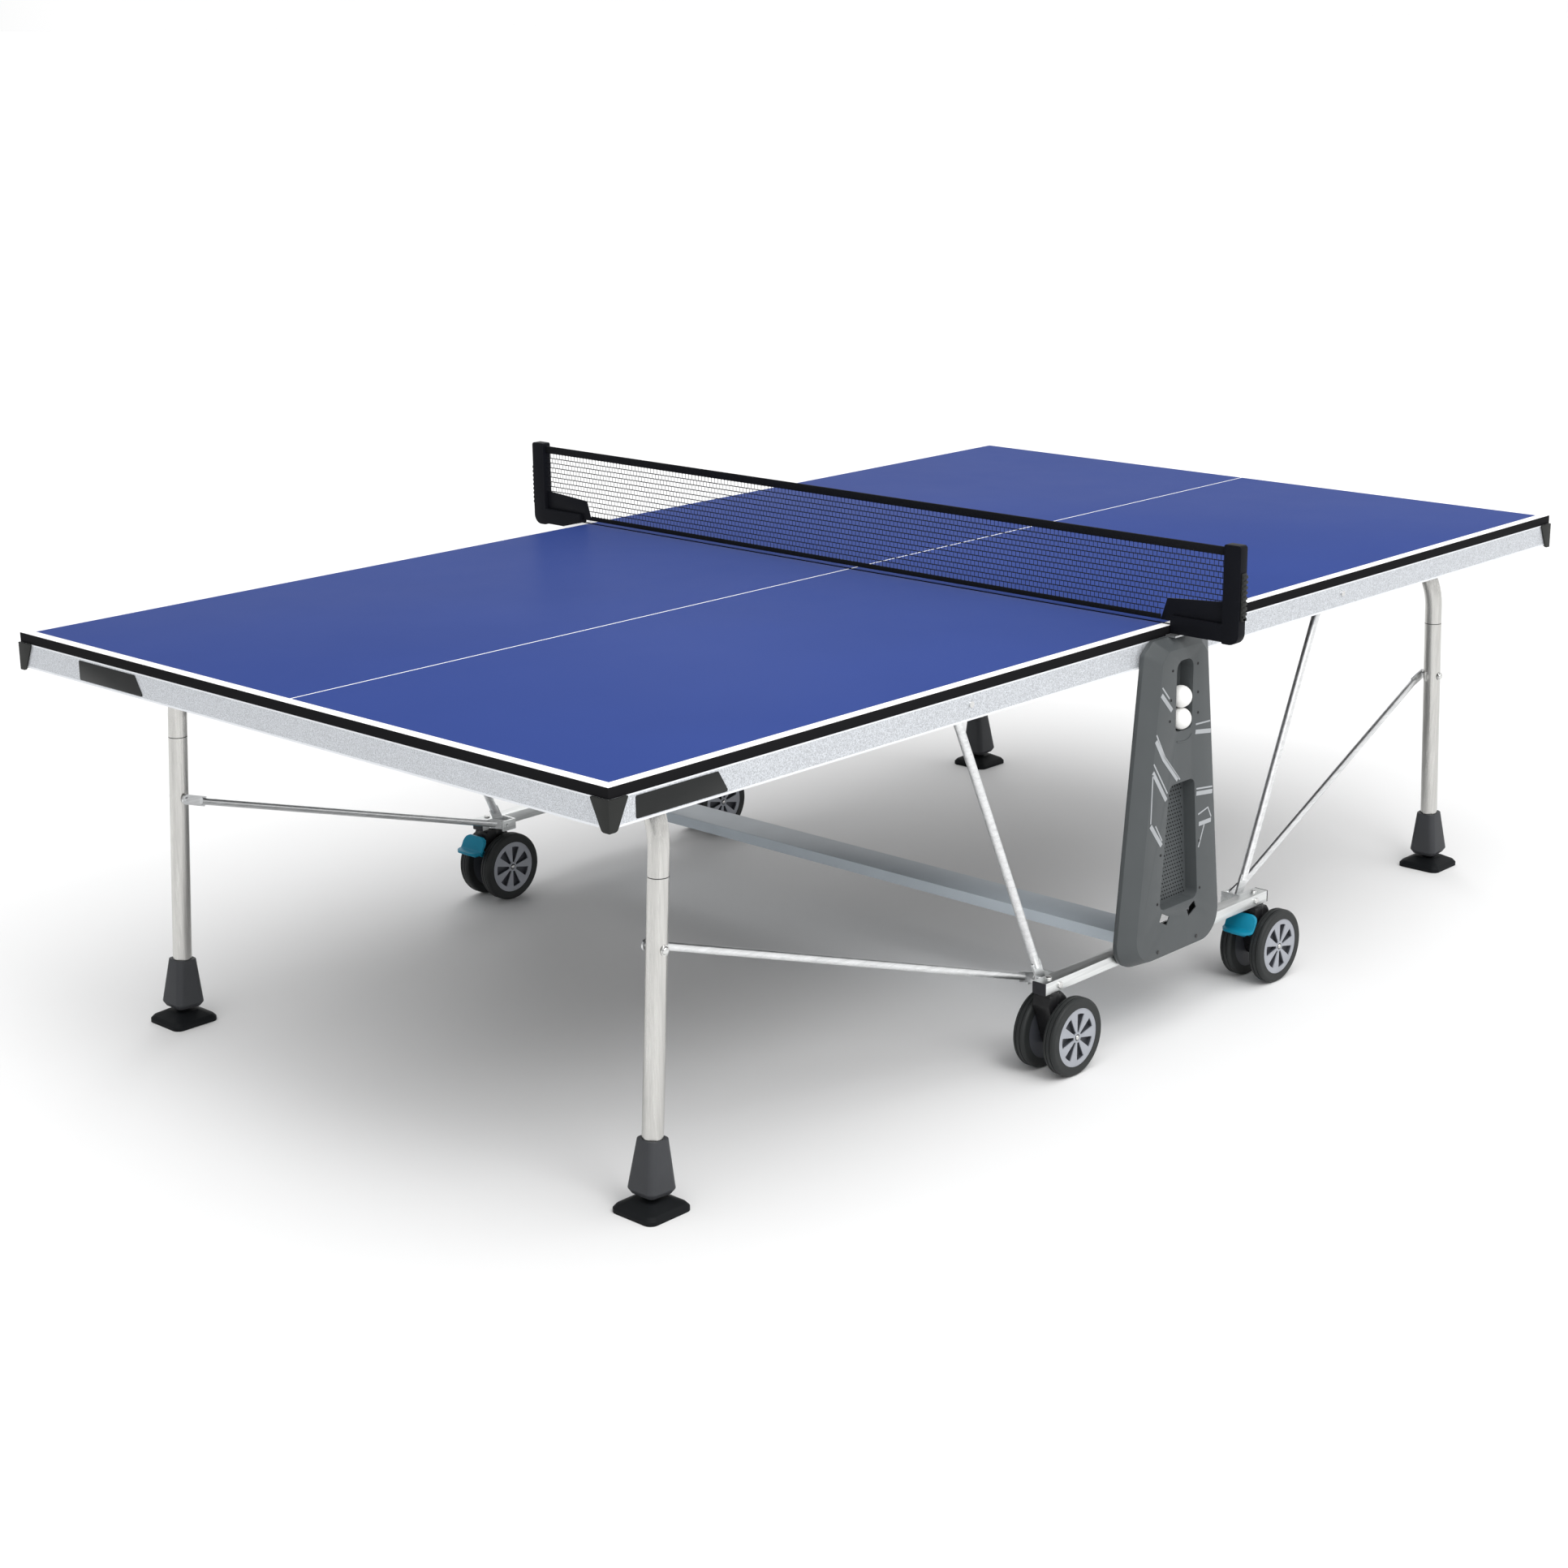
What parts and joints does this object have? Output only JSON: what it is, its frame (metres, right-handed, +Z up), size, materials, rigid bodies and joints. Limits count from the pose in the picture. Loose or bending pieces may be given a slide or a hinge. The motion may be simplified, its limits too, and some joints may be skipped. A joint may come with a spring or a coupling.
{
  "type": "ping pong table",
  "caption": "Rollaway table tennis table on a wheeled base: two folding halves with leg frames, a net on posts, side covers with ball and bat storage.",
  "frame": {"origin": "on the floor, under the middle of the net", "axes": "+X along the table's length, Y across it with the net, +Z up"},
  "size_m": [2.746, 1.8252, 0.919],
  "materials": {
    "blue_board": "satin paint with white lines",
    "apron_steel": "hammered silver paint",
    "black_cap": "moulded",
    "bright_fastener": "zinc plated",
    "zinc_steel": "bright zinc",
    "charcoal_plastic": "moulded",
    "nylon": "natural",
    "pad_rubber": "matte",
    "black_plastic": "moulded",
    "hub_plastic": "moulded",
    "tyre_rubber": "matte",
    "teal_plastic": "moulded",
    "badge_black": "plain",
    "grey_beam": "satin grey paint",
    "panel_plastic": "fine grained",
    "post_plastic": "moulded",
    "net_cord": "knotted mesh",
    "net_tape": "woven tape",
    "ball_white": "satin white"
  },
  "bodies": {
    "base": {"base_rail_near": "zinc_steel", "base_rail_far": "zinc_steel", "cross_beam": "grey_beam", "rail_plugs": "black_plastic", "base_fasteners": "bright_fastener", "upright_near": "grey_beam", "upright_far": "grey_beam", "side_panel_near": "panel_plastic", "side_panel_far": "panel_plastic", "net_post_near": "post_plastic", "net_post_far": "post_plastic", "net_mesh": "net_cord", "net_bindings": "net_tape", "net_corner_plates": "post_plastic"},
    "runner_a": {"slide_runners_a": "nylon"},
    "half_a": {"top_board_a": "blue_board", "apron_sides_a": "apron_steel", "apron_ends_a": "apron_steel", "corner_caps_a": "black_cap", "leg_clips_a": "zinc_steel", "pivot_pins_a": "bright_fastener", "badge_plates": "badge_black"},
    "strut_pair_a": {"struts_a": "zinc_steel"},
    "stay_pair_a": {"stays_a": "zinc_steel"},
    "legs_a": {"leg_frame_a": "zinc_steel", "lower_legs_a": "zinc_steel", "foot_sleeves_a": "charcoal_plastic"},
    "pad_a_near": {"foot_pad_a_near": "pad_rubber"},
    "fork_a_near": {"caster_fork_a_near": "black_plastic"},
    "wheels_a_near": {"caster_hubs_a_near": "hub_plastic", "caster_tyres_a_near": "tyre_rubber"},
    "pad_a_far": {"foot_pad_a_far": "pad_rubber"},
    "fork_a_far": {"caster_fork_a_far": "black_plastic"},
    "wheels_a_far": {"caster_hubs_a_far": "hub_plastic", "caster_tyres_a_far": "tyre_rubber"},
    "lever_a_far": {"brake_lever_a_far": "teal_plastic"},
    "runner_b": {"slide_runners_b": "nylon"},
    "half_b": {"top_board_b": "blue_board", "apron_sides_b": "apron_steel", "apron_ends_b": "apron_steel", "corner_caps_b": "black_cap", "leg_clips_b": "zinc_steel", "pivot_pins_b": "bright_fastener"},
    "strut_pair_b": {"struts_b": "zinc_steel"},
    "stay_pair_b": {"stays_b": "zinc_steel"},
    "legs_b": {"leg_frame_b": "zinc_steel", "lower_legs_b": "zinc_steel", "foot_sleeves_b": "charcoal_plastic"},
    "pad_b_near": {"foot_pad_b_near": "pad_rubber"},
    "fork_b_near": {"caster_fork_b_near": "black_plastic"},
    "wheels_b_near": {"caster_hubs_b_near": "hub_plastic", "caster_tyres_b_near": "tyre_rubber"},
    "lever_b_near": {"brake_lever_b_near": "teal_plastic"},
    "pad_b_far": {"foot_pad_b_far": "pad_rubber"},
    "fork_b_far": {"caster_fork_b_far": "black_plastic"},
    "wheels_b_far": {"caster_hubs_b_far": "hub_plastic", "caster_tyres_b_far": "tyre_rubber"},
    "adjuster_near": {"net_adjuster_near": "post_plastic"},
    "adjuster_far": {"net_adjuster_far": "post_plastic"},
    "stored_balls": {"balls": "ball_white"}
  },
  "joints": [
    {"name": "slot_slide_a", "type": "slide", "parent": "base", "child": "runner_a", "axis": [-0.083, 0, -0.9966], "range_m": [-0.002, 0.48416]},
    {"name": "fold_a", "type": "hinge", "parent": "runner_a", "child": "half_a", "pos_m": [-0.06, 0, 0.7235], "axis": [0, 1, 0], "range_deg": [0, 90]},
    {"name": "strut_swing_a", "type": "hinge", "parent": "half_a", "child": "strut_pair_a", "pos_m": [-0.56, 0, 0.7235], "axis": [0, 1, 0], "range_deg": [-46.39, 0.6]},
    {"name": "leg_fold_a", "type": "hinge", "parent": "half_a", "child": "legs_a", "pos_m": [-1.135, 0, 0.72], "axis": [0, 1, 0], "range_deg": [-72.08, 0.6]},
    {"name": "stay_swing_a", "type": "hinge", "parent": "base", "child": "stay_pair_a", "pos_m": [-0.306, 0, 0.167], "axis": [0, 1, 0], "range_deg": [-0.6, 79.35]},
    {"name": "pad_level_a_near", "type": "slide", "parent": "legs_a", "child": "pad_a_near", "axis": [-0.0628, 0, -0.998], "range_m": [0, 0.015]},
    {"name": "caster_swivel_a_near", "type": "hinge", "parent": "base", "child": "fork_a_near", "pos_m": [-0.319, -0.745, 0.15], "axis": [0, 0, 1], "continuous": true},
    {"name": "wheel_spin_a_near", "type": "hinge", "parent": "fork_a_near", "child": "wheels_a_near", "pos_m": [-0.291, -0.745, 0.0715], "axis": [0, 1, 0], "continuous": true},
    {"name": "pad_level_a_far", "type": "slide", "parent": "legs_a", "child": "pad_a_far", "axis": [-0.0628, 0, -0.998], "range_m": [0, 0.015]},
    {"name": "caster_swivel_a_far", "type": "hinge", "parent": "base", "child": "fork_a_far", "pos_m": [-0.319, 0.745, 0.15], "axis": [0, 0, 1], "continuous": true},
    {"name": "wheel_spin_a_far", "type": "hinge", "parent": "fork_a_far", "child": "wheels_a_far", "pos_m": [-0.291, 0.745, 0.0715], "axis": [0, 1, 0], "continuous": true},
    {"name": "brake_press_a_far", "type": "hinge", "parent": "fork_a_far", "child": "lever_a_far", "pos_m": [-0.34607, 0.745, 0.10659], "axis": [0, -1, 0], "range_deg": [0, 14]},
    {"name": "slot_slide_b", "type": "slide", "parent": "base", "child": "runner_b", "axis": [0.083, 0, -0.9966], "range_m": [-0.002, 0.48416]},
    {"name": "fold_b", "type": "hinge", "parent": "runner_b", "child": "half_b", "pos_m": [0.06, 0, 0.7235], "axis": [0, -1, 0], "range_deg": [0, 90]},
    {"name": "strut_swing_b", "type": "hinge", "parent": "half_b", "child": "strut_pair_b", "pos_m": [0.56, 0, 0.7235], "axis": [0, -1, 0], "range_deg": [-46.39, 0.6]},
    {"name": "leg_fold_b", "type": "hinge", "parent": "half_b", "child": "legs_b", "pos_m": [1.135, 0, 0.72], "axis": [0, -1, 0], "range_deg": [-72.08, 0.6]},
    {"name": "stay_swing_b", "type": "hinge", "parent": "base", "child": "stay_pair_b", "pos_m": [0.306, 0, 0.167], "axis": [0, -1, 0], "range_deg": [-0.6, 79.35]},
    {"name": "pad_level_b_near", "type": "slide", "parent": "legs_b", "child": "pad_b_near", "axis": [0.0628, 0, -0.998], "range_m": [0, 0.015]},
    {"name": "caster_swivel_b_near", "type": "hinge", "parent": "base", "child": "fork_b_near", "pos_m": [0.319, -0.745, 0.15], "axis": [0, 0, 1], "continuous": true},
    {"name": "wheel_spin_b_near", "type": "hinge", "parent": "fork_b_near", "child": "wheels_b_near", "pos_m": [0.347, -0.745, 0.0715], "axis": [0, 1, 0], "continuous": true},
    {"name": "brake_press_b_near", "type": "hinge", "parent": "fork_b_near", "child": "lever_b_near", "pos_m": [0.29192, -0.745, 0.10659], "axis": [0, -1, 0], "range_deg": [0, 14]},
    {"name": "pad_level_b_far", "type": "slide", "parent": "legs_b", "child": "pad_b_far", "axis": [0.0628, 0, -0.998], "range_m": [0, 0.015]},
    {"name": "caster_swivel_b_far", "type": "hinge", "parent": "base", "child": "fork_b_far", "pos_m": [0.319, 0.745, 0.15], "axis": [0, 0, 1], "continuous": true},
    {"name": "wheel_spin_b_far", "type": "hinge", "parent": "fork_b_far", "child": "wheels_b_far", "pos_m": [0.347, 0.745, 0.0715], "axis": [0, 1, 0], "continuous": true},
    {"name": "net_adjust_near", "type": "slide", "parent": "base", "child": "adjuster_near", "axis": [0, 0, 1], "range_m": [0, 0.01]},
    {"name": "net_adjust_far", "type": "slide", "parent": "base", "child": "adjuster_far", "axis": [0, 0, 1], "range_m": [0, 0.01]},
    {"name": "balls_out", "type": "slide", "parent": "base", "child": "stored_balls", "axis": [0, -1, 0], "range_m": [0, 0.06]}
  ],
  "couplings": [
    {"joint": "slot_slide_a", "follows": "fold_a", "m_per_rad": 0.30695},
    {"joint": "strut_swing_a", "follows": "fold_a", "ratio": -0.50875},
    {"joint": "leg_fold_a", "follows": "fold_a", "ratio": -0.7942},
    {"joint": "stay_swing_a", "follows": "fold_a", "ratio": 0.87505},
    {"joint": "slot_slide_b", "follows": "fold_b", "m_per_rad": 0.30695},
    {"joint": "strut_swing_b", "follows": "fold_b", "ratio": -0.50875},
    {"joint": "leg_fold_b", "follows": "fold_b", "ratio": -0.7942},
    {"joint": "stay_swing_b", "follows": "fold_b", "ratio": 0.87505}
  ]
}
